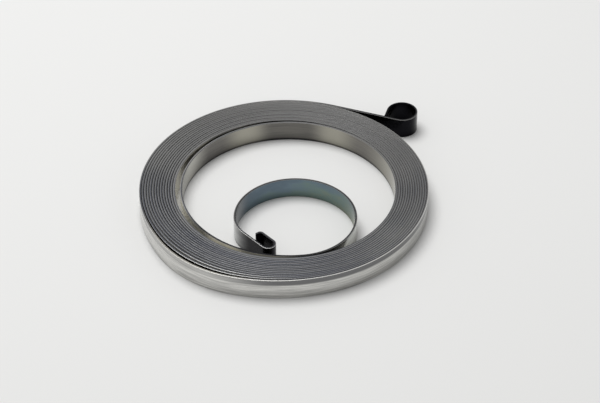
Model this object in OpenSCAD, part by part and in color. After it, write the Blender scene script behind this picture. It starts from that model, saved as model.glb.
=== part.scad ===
// Recoil starter spring: one flat spring-steel strip, wound on edge into a roll.
// Its outer end runs straight to an open eye and its inner end to a loop and a hook.
// The straight run lies along +X, the roll's axis is Z, the strip's lower edge is at 0.

/* [Strip] */
// Width of the strip, its height as the roll lies flat
strip_width = 6; // [4:0.5:10]
// Thickness of the strip
strip_thickness = 0.58; // [0.4:0.02:0.6]

/* [Roll] */
// Radius to the middle of the strip where it leaves the roll
outer_radius = 39.7; // [37:0.1:46]
// Turns that lie close together
turns = 14; // [10:1:15]
// Step from one turn to the next on the side where they are pressed together
tight_pitch = 0.65; // [0.64:0.01:0.7]
// Step from one turn to the next on the side across from it
loose_pitch = 0.72; // [0.66:0.01:0.78]
// Sweep from the place where the strip leaves to the first half turn
leave_sweep = 74; // [60:1:84]
// How far the outermost turn stands off at its loosest
outer_slack = 1.6; // [0.2:0.1:2]
// Turns at the outside that stand off, each less than the one outside it
slack_turns = 5; // [1:1:6]

/* [Outer end] */
// Straight run from the roll to the eye
run_length = 19.4; // [14:0.2:30]
// Clear diameter of the eye
eye_bore = 7.6; // [6:0.2:9]
// Sweep of the eye
eye_sweep = 274; // [271:1:280]
// Gap between the strip's end and the run, where the eye closes
eye_gap = 0.2; // [0.1:0.05:1]

/* [Inner end] */
// Sweep of the last turn before it comes away from the others
inner_hold = 56; // [40:1:70]
// How far the innermost turn comes away at its widest
inner_slack = 1.3; // [0.5:0.1:3]
// Sweep of the innermost turn before the loop leaves it
loop_start = 258; // [250:1:270]
// Radius of the loop to the middle of the strip
loop_radius = 16.4; // [15.4:0.1:17.4]
// Sweep of the loop
loop_sweep = 263; // [254:1:270]
// Radius of the tighter bend that ends the loop
turn_in_radius = 10; // [8:0.1:12]
// Sweep of that bend
turn_in_sweep = 41; // [36:1:50]
// Straight run to the hook
hook_run = 7.9; // [6.5:0.1:9]
// Clear width of the hook
hook_gap = 3.1; // [2.6:0.1:4]
// Straight return of the hook
hook_return = 4.4; // [3:0.1:5]
// Radius of the bend to the lip at the strip's tip
lip_radius = 0.8; // [0.6:0.1:1]
// Sweep of that bend
lip_sweep = 86; // [60:1:89]
// Length of the lip
lip_length = 0.8; // [0.4:0.1:1]

/* [Hidden] */
$fn = 180;
half = strip_thickness / 2;
// Longer than anything in the plan
reach = 2 * outer_radius;
eye_radius = eye_bore / 2 + half;
hook_radius = hook_gap / 2 + half;
last_half_turn = 2 * turns - 1;
slack_half_turn = 2 * slack_turns - 2;

// Lengths that are worked out are kept to a thousandth of a millimetre.
function rounded(length) = round(length * 1000) / 1000;

// A bend turns by whole corners of a 3-4-5 triangle and whole quarter turns, within two degrees
// of its stated sweep. Their sines and cosines are short decimals, so that a piece which is placed
// after many others still meets the last one exactly.
corner = atan2(4, 3);
most_corners = 18;
function in_quarters(sweep, k) = (sweep - k * corner) / 90;
function off_quarter(sweep, k) = abs(in_quarters(sweep, k) - round(in_quarters(sweep, k)));
function corners(sweep, k = -most_corners, best = 0) = k > most_corners
    ? best
    : corners(sweep, k + 1, off_quarter(sweep, k) < off_quarter(sweep, best) ? k : best);
function quarters(sweep) = round(in_quarters(sweep, corners(sweep)));
function kept(sweep) = corners(sweep) * corner + quarters(sweep) * 90;

// The strip crosses one line through the roll's axis twice in each turn.
// Radius at crossing k: even on the loose side of the axis, odd on the tight side.
function crossing(k) = k % 2 == 0
    ? outer_radius - loose_pitch * k / 2
    : outer_radius - tight_pitch * (k + 1) / 2;
function half_turn_radius(k) = rounded((crossing(k) + crossing(k + 1)) / 2);
function half_turn_centre(k) = rounded((crossing(k) - crossing(k + 1)) / 2);

// A half turn that stands off has a tight bend between two easy ones, and still ends on that line.
lead_sweep = 90 - corner;
easy_sweep = 4 * corner - 180;
slack_bend = 180 - 2 * (lead_sweep + easy_sweep);
slack_span = 180 - 2 * lead_sweep;
span_sine = sin(slack_span / 2);
span_cosine = cos(slack_span / 2);
bend_sine = sin(slack_bend / 2);
bend_cosine = cos(slack_bend / 2);
easy_share = bend_sine / (span_sine - bend_sine);
slack_share = (bend_cosine - span_cosine) * easy_share - 1 + bend_cosine;
function tighter(k) = outer_slack * pow(1 - k / 2 / slack_turns, 2) / slack_share;
function tight_radius(k) = rounded(half_turn_radius(k) - tighter(k));
function easy_radius(k) = rounded(half_turn_radius(k) + tighter(k) * easy_share);

// The tail comes down from the end of the eye to the run.
eye_cosine = cos(kept(eye_sweep));
tail_drop = eye_radius * (1 - eye_cosine) - half * (1 + abs(eye_cosine)) - eye_gap;
eye_tail = rounded(-tail_drop / sin(kept(eye_sweep)));

// Turned by k corners, at most six at a time
module turned(k) {
    part = min(max(k, -6), 6);
    rotate(part * corner) {
        if (k == part)
            children();
        else
            turned(k - part) children();
    }
}

// Turned by a bend's sweep, to the left for side 1 and to the right for side -1
module swept(sweep, side) {
    rotate(side * 90 * quarters(sweep)) turned(side * corners(sweep)) children();
}

// Half of the plan, to the left of the X axis for side 1 and to the right of it for side -1
module half_plan(side) {
    translate([-reach, min(side, 0) * reach]) square([2 * reach, reach]);
}

module ring(radius) {
    difference() {
        circle(radius + half);
        circle(radius - half);
    }
}

// Part of a ring, from the X axis through the sweep
module arc(radius, sweep, side) {
    if (kept(sweep) < 180)
        intersection() {
            ring(radius);
            half_plan(side);
            swept(sweep, side) half_plan(-side);
        }
    else
        difference() {
            ring(radius);
            intersection() {
                half_plan(-side);
                swept(sweep, side) half_plan(side);
            }
        }
}

// Straight length of strip along +Y, the rest of the strip at its end
module run(length) {
    translate([-half, 0]) square([strip_thickness, length]);
    translate([0, length]) children();
}

// Bend from +Y to the left, or to the right for a radius below zero, the rest of the strip at its end
module bend(radius, sweep) {
    side = sign(radius);
    facing = radius > 0 ? 0 : 180;
    translate([-radius, 0]) rotate(facing) {
        arc(abs(radius), sweep, side);
        swept(sweep, side) translate([abs(radius), 0]) rotate(facing) children();
    }
}

// A half turn to the right that stands off the roll, the rest of the strip at its end
module stood_off(k) {
    bend(-half_turn_radius(k), lead_sweep)
        bend(-easy_radius(k), easy_sweep)
        bend(-tight_radius(k), slack_bend)
        bend(-easy_radius(k), easy_sweep)
        bend(-half_turn_radius(k), lead_sweep)
        children();
}

// The half turns from the kth outward, the rest of the strip at their end
module outward(k) {
    if (k == 0)
        stood_off(0) children();
    else if (k % 2 == 0)
        stood_off(k) outward(k - 1) children();
    else
        bend(-half_turn_radius(k), 180) outward(k - 1) children();
}

// The close turns, each of two half turns that meet on the line through the axis
module roll() {
    for (k = [slack_half_turn + 1 : last_half_turn - 1]) {
        facing = k % 2 == 0 ? 0 : 180;
        rotate(facing) translate([half_turn_centre(k), 0])
            arc(half_turn_radius(k), 180, 1);
    }
}

// From the roll outward: the turns that stand off, the rest of the outermost, the run and the eye
module outer_end() {
    outward(slack_half_turn)
        bend(-outer_radius, leave_sweep)
        run(run_length)
        bend(eye_radius, eye_sweep)
        run(eye_tail);
}

// From the roll inward: the innermost turn, the loop, and the hook with its lip
module inner_end() {
    bend(half_turn_radius(last_half_turn), inner_hold)
        bend(rounded(half_turn_radius(last_half_turn) - inner_slack / 2), loop_start)
        bend(loop_radius, loop_sweep)
        bend(turn_in_radius, turn_in_sweep)
        run(hook_run)
        bend(hook_radius, 180)
        run(hook_return)
        bend(lip_radius, lip_sweep)
        run(lip_length);
}

// The whole strip, turned so that the run lies along +X
module spring() {
    color([0.38, 0.38, 0.4])
    linear_extrude(strip_width)
    rotate(90) swept(leave_sweep, 1) {
        roll();
        translate([-crossing(slack_half_turn + 1), 0]) outer_end();
        rotate(180) translate([crossing(last_half_turn), 0]) inner_end();
    }
}

spring();
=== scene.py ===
# A recoil starter spring: one flat strip of spring steel, wound on edge into an open roll.
# The strip is drawn along the same route as the solid, with finer edges and its own finish.

import math

import bpy
import numpy as np
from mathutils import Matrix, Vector


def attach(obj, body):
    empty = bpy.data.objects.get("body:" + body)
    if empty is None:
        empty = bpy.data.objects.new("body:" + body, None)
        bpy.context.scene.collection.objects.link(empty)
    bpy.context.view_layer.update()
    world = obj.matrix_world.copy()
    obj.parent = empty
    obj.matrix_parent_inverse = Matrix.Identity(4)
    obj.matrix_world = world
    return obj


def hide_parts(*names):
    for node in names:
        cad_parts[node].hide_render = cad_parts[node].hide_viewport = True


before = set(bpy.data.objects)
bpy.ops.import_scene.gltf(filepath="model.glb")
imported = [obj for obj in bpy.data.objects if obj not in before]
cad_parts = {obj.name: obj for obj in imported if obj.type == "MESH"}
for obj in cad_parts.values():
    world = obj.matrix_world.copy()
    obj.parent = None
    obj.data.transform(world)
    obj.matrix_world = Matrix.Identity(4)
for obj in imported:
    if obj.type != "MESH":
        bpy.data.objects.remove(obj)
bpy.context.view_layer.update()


# The spring
# One strip of hardened spring steel, rolled and slit, then coiled on edge at the works.
# Both ends are softened with a flame and bent: the eye outside, the loop and hook inside.
# Lengths are in millimetres and sweeps in degrees, as the part's source works them out.
strip_width = 6.0
strip_thickness = 0.58
half = strip_thickness / 2
edge_round = 0.1
outer_radius = 39.7
turns = 14
tight_pitch = 0.65
loose_pitch = 0.72


def crossing(k):
    """Radius at which the strip meets the line through the axis for the kth time."""
    if k % 2:
        return outer_radius - tight_pitch * (k + 1) / 2
    return outer_radius - loose_pitch * k / 2


def half_turn_radius(k):
    """Radius of the half turn from the kth crossing to the next."""
    return (crossing(k) + crossing(k + 1)) / 2


# The outer turns stand off on one side, each less than the one outside it.
# A half turn there has a tight bend between two easy ones, and still ends on that line.
outer_slack = 1.6
slack_turns = 5
lead_sweep = 36.87
easy_sweep = 32.52
tight_sweep = 41.22
half_span = math.radians(90 - lead_sweep)
half_bend = math.radians(tight_sweep / 2)
easy_share = math.sin(half_bend) / (math.sin(half_span) - math.sin(half_bend))
slack_share = (math.cos(half_bend) - math.cos(half_span)) * easy_share - 1 + math.cos(half_bend)


def half_turn(k):
    """Steps of the kth half turn from the outside."""
    radius = half_turn_radius(k)
    if k % 2 or k >= 2 * slack_turns:
        return [(radius, 180)]
    tighter = outer_slack * (1 - k / 2 / slack_turns) ** 2 / slack_share
    lead = (radius, lead_sweep)
    easy = (radius + tighter * easy_share, easy_sweep)
    return [lead, easy, (radius - tighter, tight_sweep), easy, lead]


# Each step is a bend to the left, as its radius and sweep, or a straight run, as its length.
# Inward from where the strip leaves: the roll, the innermost turn, the loop, the hook and its lip.
leave_sweep = 73.74
inner_hold = 56.34
inner_slack = 1.3
loop_start = 258.09
loop_radius = 16.4
loop_sweep = 262.44
turn_in_radius = 10
turn_in_sweep = 41.22
hook_run = 7.9
hook_gap = 3.1
hook_return = 4.4
lip_radius = 0.8
lip_sweep = 85.65
lip_length = 0.8
last_radius = half_turn_radius(2 * turns - 1)
inward_steps = [
    (outer_radius, leave_sweep),
    *[step for k in range(2 * turns - 1) for step in half_turn(k)],
    (last_radius, inner_hold),
    (last_radius - inner_slack / 2, loop_start),
    (loop_radius, loop_sweep),
    (turn_in_radius, turn_in_sweep),
    (hook_run,),
    (hook_gap / 2 + half, 180),
    (hook_return,),
    (lip_radius, lip_sweep),
    (lip_length,),
]

# Outward: the run, the eye and the tail that closes it.
run_length = 19.4
eye_bore = 7.6
eye_sweep = 274.35
eye_tail = 3.28
outward_steps = [(run_length,), (eye_bore / 2 + half, eye_sweep), (eye_tail,)]

# The strip is drawn in short pieces, which turn by a few degrees at most.
straight_piece = 0.8
least_straight = 2
bent_piece = 1.25
least_bent = 4
most_turn = math.radians(9)


def walk(heading, steps):
    """Places along the strip from where it leaves the roll, as x, y, heading and distance."""
    x, y, covered = 0.0, outer_radius, 0.0
    places = [(x, y, heading, covered)]
    for step in steps:
        if len(step) == 1:
            length = step[0]
            pieces = max(least_straight, round(length / straight_piece))
            for _ in range(pieces):
                x += math.cos(heading) * length / pieces
                y += math.sin(heading) * length / pieces
                covered += length / pieces
                places.append((x, y, heading, covered))
        else:
            radius, sweep = step[0], math.radians(step[1])
            needed = max(radius * sweep / bent_piece, sweep / most_turn)
            pieces = max(least_bent, math.ceil(needed))
            centre_x = x - radius * math.sin(heading)
            centre_y = y + radius * math.cos(heading)
            first_heading = heading
            for i in range(1, pieces + 1):
                heading = first_heading + sweep * i / pieces
                x = centre_x + radius * math.sin(heading)
                y = centre_y - radius * math.cos(heading)
                covered += radius * sweep / pieces
                places.append((x, y, heading, covered))
    return places


# The route runs from the tip of the eye's tail to the tip of the hook's lip.
outward = walk(0.0, outward_steps)
inward = walk(math.pi, inward_steps)
run_out = outward[-1][3]
route = [(x, y, a + math.pi, run_out - d) for x, y, a, d in reversed(outward[1:])]
route += [(x, y, a, run_out + d) for x, y, a, d in inward]
route = np.array(route)
along = route[:, 3]
strip_length = along[-1]

# The turns don't lie quite level: each rides a few hundredths of a millimetre up or down.
# A wave has a height, a length for each radian, and an angle at which it begins.
mean_lift = 0.05
waves = [(0.022, 31.0, 0.0), (0.018, 57.0, 1.3), (0.01, 13.0, 0.4)]
lift = mean_lift
for wave_height, wave_length, begins in waves:
    lift = lift + wave_height * np.sin(along / wave_length + begins)

# The section goes round the outer face, the top edge, the inner face and the bottom edge.
# Each of its points is a place, across and up, and the way that the surface faces there.
side, low, high = half - edge_round, edge_round, strip_width - edge_round
corner_step = 30
section = []
for middle_x, middle_z, first in [
    (side, low, -90),
    (side, high, 0),
    (-side, high, 90),
    (-side, low, 180),
]:
    for angle in range(first, first + 90 + 1, corner_step):
        out, up = math.cos(math.radians(angle)), math.sin(math.radians(angle))
        section.append((middle_x + edge_round * out, middle_z + edge_round * up, out, up))
section = np.array(section)

# On the way inward the right-hand side is the one away from the roll's axis.
# The mesh itself is in metres.
millimetres = 1000
right = np.stack([np.sin(route[:, 2]), -np.cos(route[:, 2])], 1)
count, around = len(route), len(section)
points = np.empty((count, around, 3))
points[:, :, :2] = route[:, None, :2] + right[:, None, :] * section[None, :, 0, None]
points[:, :, 2] = section[None, :, 1] + lift[:, None]
normals = np.empty((count, around, 3))
normals[:, :, :2] = right[:, None, :] * section[None, :, 2, None]
normals[:, :, 2] = section[None, :, 3]
faces = []
for i in range(count - 1):
    here, there = i * around, (i + 1) * around
    for j in range(around):
        k = (j + 1) % around
        faces.append((here + j, there + j, there + k, here + k))
faces.append(tuple(range(around)))
faces.append(tuple(count * around - 1 - j for j in range(around)))
mesh = bpy.data.meshes.new("spring_strip")
mesh.from_pydata((points.reshape(-1, 3) / millimetres).tolist(), [], faces)
mesh.shade_smooth()
mesh.normals_split_custom_set_from_vertices(normals.reshape(-1, 3).tolist())

# The finish is drawn by where a place is along the strip, through its thickness and up its width.
for name, values in [
    ("along", np.repeat(along, around)),
    ("depth", np.tile(section[:, 0] / half, count)),
    ("height", np.tile(section[:, 1], count)),
]:
    layer = mesh.attributes.new(name, "FLOAT", "POINT")
    layer.data.foreach_set("value", values.astype(np.float32))
spring = bpy.data.objects.new("spring_strip", mesh)
bpy.context.scene.collection.objects.link(spring)


class Level:
    """A socket of a finish. Sums and products of levels add the Math nodes that work them out."""

    def __init__(self, tree, socket=None):
        self.tree = tree
        self.socket = socket

    def node(self, kind, settings, sockets, output=0):
        """A new node with its settings, then the values or links of its sockets."""
        made = self.tree.nodes.new(kind)
        for name, value in settings.items():
            if name == "stops":
                ramp = made.color_ramp.elements
                while len(ramp) < len(value):
                    ramp.new(0.5)
                for stop, (place, colour) in zip(ramp, value):
                    stop.position = place
                    stop.color = (*colour, 1)
            else:
                setattr(made, name, value)
        for name, value in sockets.items():
            if isinstance(value, Level):
                self.tree.links.new(value.socket, made.inputs[name])
            else:
                made.inputs[name].default_value = value
        return Level(self.tree, made.outputs[output])

    def arithmetic(self, operation, *values):
        return self.node("ShaderNodeMath", {"operation": operation}, dict(enumerate(values)))

    def __add__(self, other):
        return self.arithmetic("ADD", self, other)

    def __sub__(self, other):
        return self.arithmetic("SUBTRACT", self, other)

    def __mul__(self, other):
        return self.arithmetic("MULTIPLY", self, other)

    def __truediv__(self, other):
        return self.arithmetic("DIVIDE", self, other)

    def __rsub__(self, other):
        return self.arithmetic("SUBTRACT", other, self)

    __radd__ = __add__
    __rmul__ = __mul__

    def rise(self, start, end):
        """0 up to start, 1 from end on, and smooth between them."""
        return self.node(
            "ShaderNodeMapRange",
            {"interpolation_type": "SMOOTHSTEP"},
            {"Value": self, "From Min": start, "From Max": end, "To Min": 0.0, "To Max": 1.0},
        )

    def blend(self, low, high):
        """One colour where this is 0 and another where it is 1."""
        low, high = [c if isinstance(c, Level) else (*c, 1) for c in (low, high)]
        factor, first, second, result = 0, 6, 7, 2
        colours = {factor: self, first: low, second: high}
        return self.node("ShaderNodeMix", {"data_type": "RGBA"}, colours, result)


steel = bpy.data.materials.new("blued_spring_steel")
steel.use_nodes = True
tree = steel.node_tree
shader = tree.nodes["Principled BSDF"]
finish = Level(tree)
distance = finish.node("ShaderNodeAttribute", {"attribute_name": "along"}, {}, "Fac")
depth = finish.node("ShaderNodeAttribute", {"attribute_name": "depth"}, {}, "Fac")
height = finish.node("ShaderNodeAttribute", {"attribute_name": "height"}, {}, "Fac")


def streaks(lengthwise, upward, detail):
    """Marks drawn out along the strip: how many in a millimetre along it and up its width."""
    place = finish.node(
        "ShaderNodeCombineXYZ",
        {},
        {"X": distance * lengthwise, "Y": height * upward, "Z": depth * 0.7},
    )
    return finish.node(
        "ShaderNodeTexNoise",
        {},
        {"Vector": place, "Scale": 1.0, "Detail": detail, "Roughness": 0.6},
        "Fac",
    )


def from_outer_tip(begin, end, fade):
    """1 on a length of the strip that is measured from its outer tip, and 0 beyond it.

    Each end fades over that much on both of its sides.
    """
    return distance.rise(begin - fade, begin + fade) - distance.rise(end - fade, end + fade)


def from_inner_tip(begin, end, fade):
    """The same for a length that is measured from its inner tip, the far end first."""
    return from_outer_tip(strip_length - begin, strip_length - end, fade)


rolled = streaks(lengthwise=0.1, upward=2.6, detail=5.0)
patches = streaks(lengthwise=0.02, upward=0.1, detail=3.0)
mottle = streaks(lengthwise=0.16, upward=0.4, detail=4.0)
fine = streaks(lengthwise=0.5, upward=9.0, detail=2.0)
streak_range = (0.36, 0.64)
outside = depth.rise(-0.2, 0.2)
outermost = 1 - distance.rise(310.0, 330.0)
top = height.rise(strip_width - 0.1, strip_width - 0.02)
edge = top + 1 - height.rise(0.02, 0.1)
rim_sides = depth.rise(0.5, 0.7) + 1 - depth.rise(-0.97, -0.85)
rim = height.rise(strip_width - 0.13, strip_width - 0.08) * rim_sides

# The slit edges are matt and grey. Painted reflections make them lighter and darker in bands set by
# place in the roll, across the turns, and painted shade darkens them toward the gap inside each
# turn. They are darker along the loop, and nearly black for a length where it begins.
blue_grey, mid_grey, warm_grey = (0.092, 0.097, 0.114), (0.223, 0.223, 0.222), (0.27, 0.268, 0.255)
gap_shade, near_black, loop_grey = (0.02, 0.02, 0.024), (0.02, 0.02, 0.022), (0.055, 0.054, 0.054)
highlight_cream = (0.42, 0.4, 0.345)
place_in_roll = finish.node("ShaderNodeTexCoord", {}, {}, "Object")
cloud = finish.node(
    "ShaderNodeTexNoise", {}, {"Vector": place_in_roll, "Scale": 38.0, "Detail": 2.0}, "Fac"
)
far = finish.node("ShaderNodeSeparateXYZ", {}, {"Vector": place_in_roll}, "Y")
across = finish.node("ShaderNodeSeparateXYZ", {}, {"Vector": place_in_roll}, "X")
# Painted reflection: lighter and darker bands on the edges by place in the roll, crossing the
# turns.
reflection_bands = (0.6 * cloud + 5.0 * far - 2.5 * across + 0.19).rise(0.34, 0.62)
edge_grey = reflection_bands.blend(blue_grey, mid_grey)
edge_grey = (0.25 * patches.rise(0.4, 0.62)).blend(edge_grey, warm_grey)
# Painted shade: each edge darkens toward the gap inside its turn.
edge_grey = (0.45 - 0.45 * depth.rise(-0.8, 0.1)).blend(edge_grey, gap_shade)
# The edges are nearly black for a length where the loop begins, and darker along the loop.
dark_length = from_inner_tip(138.0, 92.0, 8.0)
loop_edge = 0.75 * from_inner_tip(100.0, 24.0, 5.0)
# Painted highlight: a paler colour on the edges along one length of the outermost turn, where the
# darker margin below the top gives way.
edge_highlight_length = from_outer_tip(136.0, 170.0, 10.0)
edge_steel = loop_edge.blend(dark_length.blend(edge_grey, near_black), loop_grey)
edge_steel = (0.6 * edge_highlight_length).blend(edge_steel, highlight_cream)

# Their corners are turned over a little, and a pale painted highlight lies on them, most of all on
# the outermost turn.
highlight_lengths = from_outer_tip(390.0, 424.0, 12.0) + 0.8 * from_outer_tip(636.0, 664.0, 12.0)
painted_highlight = rim * (
    0.12
    + 0.3 * far.rise(-0.034, -0.014)
    + 0.5 * outermost
    + 0.3 * from_inner_tip(24.0, 0.0, 4.0)
    + 0.6 * highlight_lengths
)
painted_highlight = painted_highlight * (1 - dark_length)
# Painted highlight along the outer half of the top edge, on one length of the outermost turn.
painted_highlight = painted_highlight + 0.45 * top * depth.rise(0.1, 0.4) * from_outer_tip(165.0, 255.0, 15.0)

# The rolled faces: a brown cast inside, with painted reflections on it, paler lengths for the
# bright floor and a darker length for the loop, and painted shade along the bottom; brighter steel
# outside with a darker margin at the top of the outermost turn.
brown, light_brown, foot_shade_colour = (0.15, 0.144, 0.135), (0.22, 0.21, 0.19), (0.03, 0.03, 0.033)
reflection_cream, reflection_pale = (0.35, 0.338, 0.29), (0.6, 0.59, 0.54)
grey_steel, bright_steel = (0.47, 0.466, 0.452), (0.7, 0.695, 0.67)
margin_grey, pale_cream, highlight_pale = (0.17, 0.17, 0.172), (0.92, 0.9, 0.82), (0.78, 0.77, 0.74)
skin = (0.5 * patches + 0.5 * rolled).rise(*streak_range).blend(brown, light_brown)
# Painted reflections of the bright floor: paler lengths of the inner faces beside the loop.
floor_reflection = from_inner_tip(217.0, 208.0, 4.0) + from_inner_tip(191.0, 182.0, 4.0)
floor_reflection = floor_reflection + 0.8 * from_inner_tip(258.0, 229.0, 7.0)
# Painted reflection of the loop: a darker length of the inner face behind it.
loop_reflection = from_inner_tip(207.0, 192.0, 2.5)
# Painted reflection: a much paler length of the inner face.
bright_reflection = from_inner_tip(168.0, 124.0, 6.0)
# Painted shade: the inner faces darken along their bottom, where they stand on the floor.
foot_shade = 1 - height.rise(0.3, 0.9)
inner_steel = bright_reflection.blend(floor_reflection.blend(skin, reflection_cream), reflection_pale)
inner_steel = (0.7 * foot_shade + 0.3 * loop_reflection).blend(inner_steel, foot_shade_colour)
margin = height.rise(strip_width - 2.0, strip_width - 1.4) * outermost * (1 - 0.7 * edge_highlight_length)
bright = rolled.rise(*streak_range).blend(grey_steel, bright_steel)
outer_steel = margin.blend(bright, margin_grey)

# Where the innermost turn stands off, the faces on both sides of the gap are painted pale and made
# less metallic as painted light in the gap, on one face only near its top.
upper = height.rise(strip_width - 0.75, strip_width - 0.4)
gap_faces = 0.6 * from_inner_tip(380.0, 351.0, 6.0) * upper + from_inner_tip(351.0, 290.0, 5.0)
gap_backs = from_inner_tip(176.0, 143.0, 3.0) + from_inner_tip(131.0, 120.0, 3.0)
painted_gap_light = gap_faces + gap_backs * outside
faces_steel = painted_gap_light.blend(outside.blend(inner_steel, outer_steel), pale_cream)
bare = painted_highlight.blend(edge.blend(faces_steel, edge_steel), highlight_pale)

# Heat has drawn temper colours along the loop: straw, then green, teal and blue toward the hook.
# The first turn has the same colours where it leaves the run.
straw, green, teal = (0.4, 0.38, 0.29), (0.21, 0.23, 0.17), (0.155, 0.215, 0.2)
blue, deep_blue, pale_blue = (0.14, 0.19, 0.225), (0.1, 0.13, 0.165), (0.44, 0.45, 0.455)
loop_heat = distance.rise(strip_length - 122.0, strip_length - 100.0)
run_heat = 1 - distance.rise(66.0, 92.0)
loop_place = (distance - (strip_length - 104.0)) / 82.0
loop_place = loop_place + 0.75 * (mottle - 0.5) + 0.055 * (height - 3.2)
run_place = (86.0 - distance) / 44.0 + 0.8 * (mottle - 0.5)
temper = finish.node(
    "ShaderNodeValToRGB",
    {"stops": [(0.0, straw), (0.22, green), (0.46, teal), (0.68, blue), (1.0, deep_blue)]},
    {"Fac": loop_heat * loop_place + run_heat * run_place},
    "Color",
)
tints = loop_heat * (1 - 0.7 * outside) + run_heat
pale = from_inner_tip(34.0, 20.0, 5.0) * (1 - outside)
tinted = (tints * (1 - edge) * (1 - rim)).blend(bare, pale.blend(temper, pale_blue))

# The eye, the run and the hook were made red-hot to be bent, and are nearly black.
# Their edges and corners carry a painted highlight, apart from the eye's tip and one side of the
# eye and the run.
black, soft_black = (0.002, 0.002, 0.003), (0.009, 0.009, 0.011)
burnt = 1 - distance.rise(34.0, 56.0)
burnt = burnt + distance.rise(strip_length - 27.0, strip_length - 17.0)
back_edge = (1 - distance.rise(40.0, 52.0)) * depth.rise(-0.2, 0.3)
black_edge_highlight = distance.rise(11.0, 14.0) * (0.45 * edge + 0.5 * rim) * (1 - back_edge)
soot = burnt * (1 - black_edge_highlight)
scale = (from_inner_tip(22.0, -6.0, 3.0) * (1 - outside)).blend(soft_black, black)
colour = soot.blend(tinted, scale)
tree.links.new(colour.socket, shader.inputs["Base Color"])

# Oil lies between the turns that stand off, and greys the gaps.
oil = from_outer_tip(530.0, 1560.0, 20.0) * outside * (1 - edge)
# The painted light in the gap also takes away some metal.
metal = 1 - 0.75 * oil - 0.6 * painted_gap_light
tree.links.new(metal.socket, shader.inputs["Metallic"])
rough = 0.07 + 0.18 * rolled + 0.22 * edge + 0.05 * soot
tree.links.new(rough.socket, shader.inputs["Roughness"])
relief = finish.node(
    "ShaderNodeBump", {}, {"Height": fine, "Strength": 0.12, "Distance": 0.00004}, "Normal"
)
tree.links.new(relief.socket, shader.inputs["Normal"])
mesh.materials.append(steel)

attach(spring, "root")
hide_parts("spring")


# The floor
# A plain matt board, pale and larger than the view, that keeps the spring's shadow.
# From here on lengths are in metres.
reach = 3
board_colour = (0.82, 0.82, 0.81, 1)
floor_mesh = bpy.data.meshes.new("floor")
floor_mesh.from_pydata(
    [(-reach, -reach, 0), (reach, -reach, 0), (reach, reach, 0), (-reach, reach, 0)],
    [],
    [(0, 1, 2, 3)],
)
floor = bpy.data.objects.new("floor", floor_mesh)
bpy.context.scene.collection.objects.link(floor)
board = bpy.data.materials.new("pale_board")
board.use_nodes = True
board_shader = board.node_tree.nodes["Principled BSDF"]
board_shader.inputs["Base Color"].default_value = board_colour
board_shader.inputs["Roughness"].default_value = 0.9
floor_mesh.materials.append(board)


# The light
# A broad soft box overhead, a little behind and to the left, and an even glow from the room.
# Together they stand at a level at which a colour renders about as it is written.
lamp_place = Vector((-0.25, 0.15, 0.8))
lamp = bpy.data.lights.new("overhead", "AREA")
lamp.shape = "DISK"
lamp.size = 0.6
lamp.energy = 5.0
soft_box = bpy.data.objects.new("overhead", lamp)
soft_box.location = lamp_place
soft_box.rotation_mode = "QUATERNION"
soft_box.rotation_quaternion = (-lamp_place).to_track_quat("-Z", "Y")
bpy.context.scene.collection.objects.link(soft_box)
world = bpy.data.worlds.new("room")
bpy.context.scene.world = world
world.use_nodes = True
glow = world.node_tree.nodes["Background"]
glow.inputs["Color"].default_value = (1, 1, 1, 1)
glow.inputs["Strength"].default_value = 0.42


# The camera
# Long lens from above the front, turned a little to the right of the run.
# It aims beside the roll's axis, level with the strip's top edge.
azimuth, elevation = math.radians(20), math.radians(38.7)
camera_distance = 0.65
aim_offset = 0.0041
back = Vector(
    (
        math.sin(azimuth) * math.cos(elevation),
        -math.cos(azimuth) * math.cos(elevation),
        math.sin(elevation),
    )
)
aside = Vector((math.cos(azimuth), math.sin(azimuth), 0))
above = back.cross(aside)
aim = Vector((0, 0, strip_width / millimetres)) + (aside - above) * aim_offset
camera_data = bpy.data.cameras.new("camera")
camera_data.lens = 142.5
camera_data.sensor_width = 36
camera_data.clip_start = 0.01
camera = bpy.data.objects.new("camera", camera_data)
camera.location = aim + back * camera_distance
camera.rotation_mode = "QUATERNION"
camera.rotation_quaternion = (-back).to_track_quat("-Z", "Y")
bpy.context.scene.collection.objects.link(camera)
bpy.context.scene.camera = camera
bpy.context.scene.view_settings.view_transform = "Standard"
